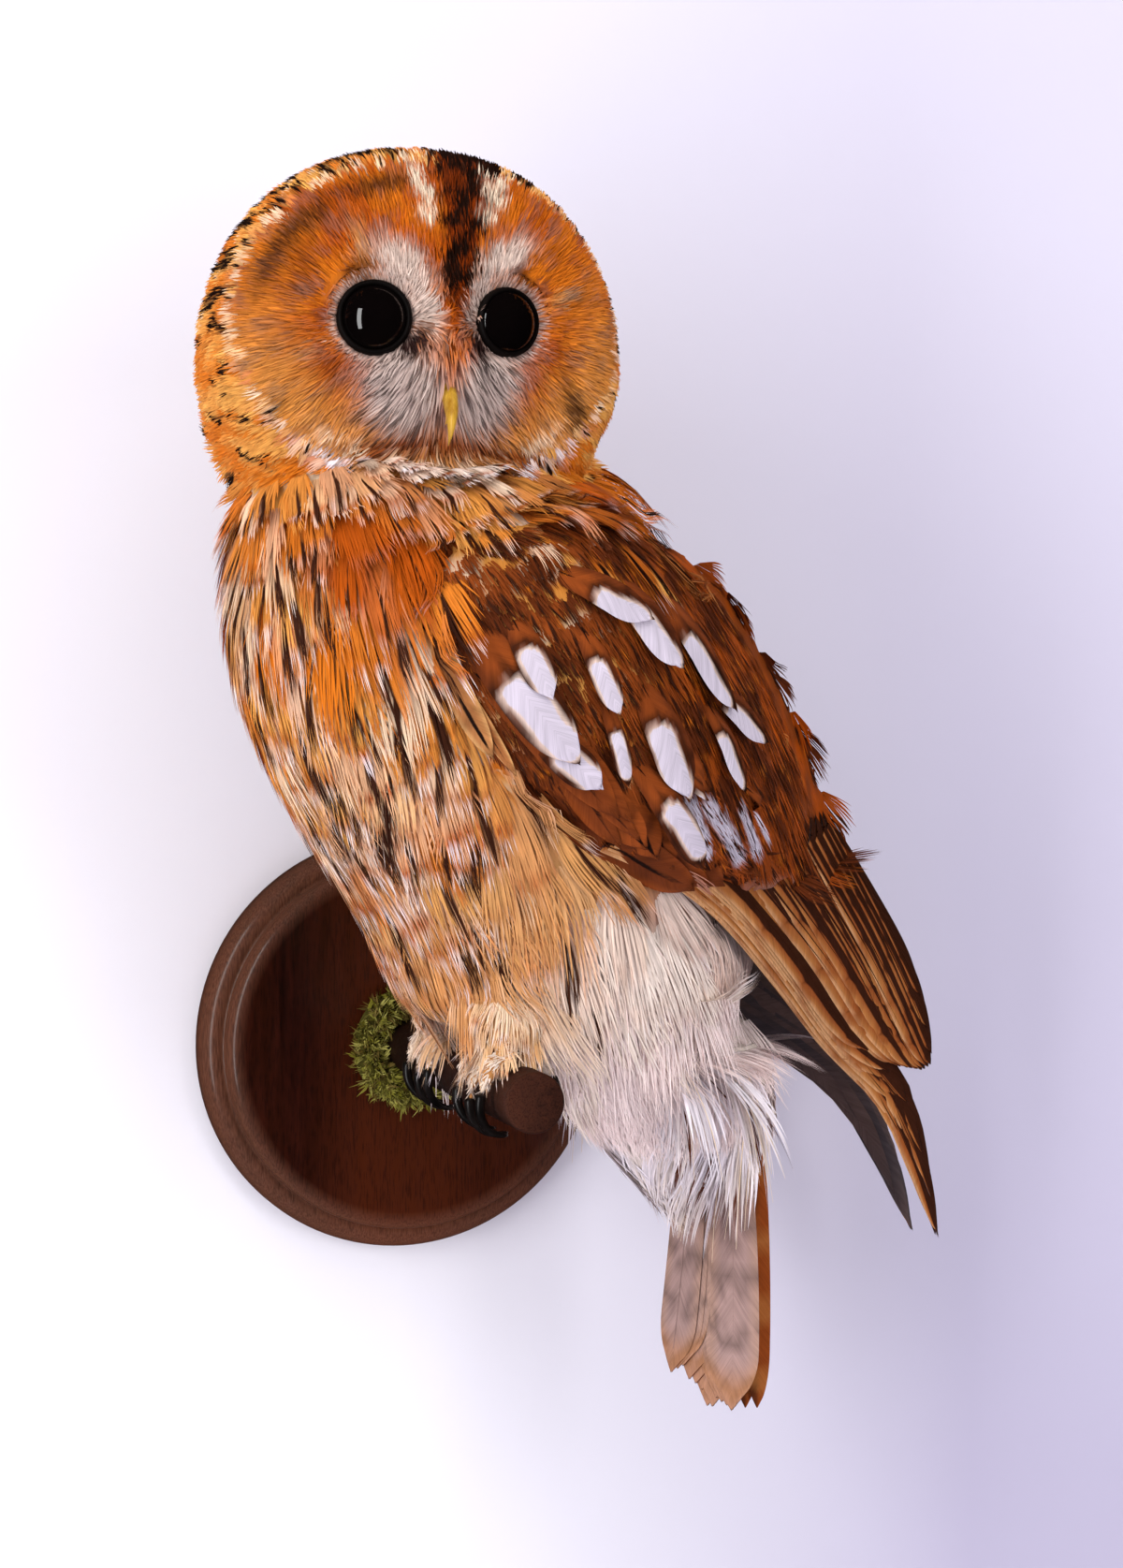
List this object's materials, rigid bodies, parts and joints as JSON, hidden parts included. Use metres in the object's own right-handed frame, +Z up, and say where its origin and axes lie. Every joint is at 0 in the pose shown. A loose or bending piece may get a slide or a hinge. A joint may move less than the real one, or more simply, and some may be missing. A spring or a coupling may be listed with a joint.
{
  "type": "taxidermy tawny owl on a wall plaque",
  "caption": "Mounted tawny owl, wings folded and head turned to face out, gripping a wooden perch rod on a round moulded wall plaque with moss at the rod's foot.",
  "frame": {"origin": "centre of the plaque's flat back, which lies against the wall", "axes": "+Y into the wall, +Z up, +X to the right for a viewer facing the wall; the perch rod points along -Y"},
  "size_m": [0.2425, 0.1598, 0.3604],
  "materials": {
    "stained_wood": "dark red-brown stain under gloss varnish",
    "rod_wood": "dark stained dowel, matt",
    "dried_moss": "dried olive-green moss",
    "eye_glass": "black glass eyes, polished",
    "bill_horn": "yellow horn, satin",
    "claw_horn": "near-black horn, polished",
    "flight_feathers": "brown and buff barred feather vanes",
    "face_feathers": "rufous facial disc, fine soft feathers",
    "body_feathers": "buff and white feathers with dark streaks"
  },
  "bodies": {
    "root": {"bill_lower": "bill_horn", "bill_upper": "bill_horn", "claw_left_hind": "claw_horn", "claw_left_inner": "claw_horn", "claw_left_middle": "claw_horn", "claw_left_outer": "claw_horn", "claw_right_hind": "claw_horn", "claw_right_inner": "claw_horn", "claw_right_middle": "claw_horn", "claw_right_outer": "claw_horn", "eye_left": "eye_glass", "eye_right": "eye_glass", "foot_left": "body_feathers", "foot_right": "body_feathers", "head": "face_feathers", "leg_left": "body_feathers", "leg_right": "body_feathers", "moss_ring": "dried_moss", "neck": "body_feathers", "perch_rod": "rod_wood", "plaque_board": "stained_wood", "tail": "flight_feathers", "trunk": "body_feathers", "vent_coverts": "body_feathers", "wing_left_coverts": "flight_feathers", "wing_left_primaries": "flight_feathers", "wing_left_secondaries": "flight_feathers", "wing_right_coverts": "flight_feathers", "wing_right_primaries": "flight_feathers", "wing_right_secondaries": "flight_feathers"}
  },
  "joints": []
}
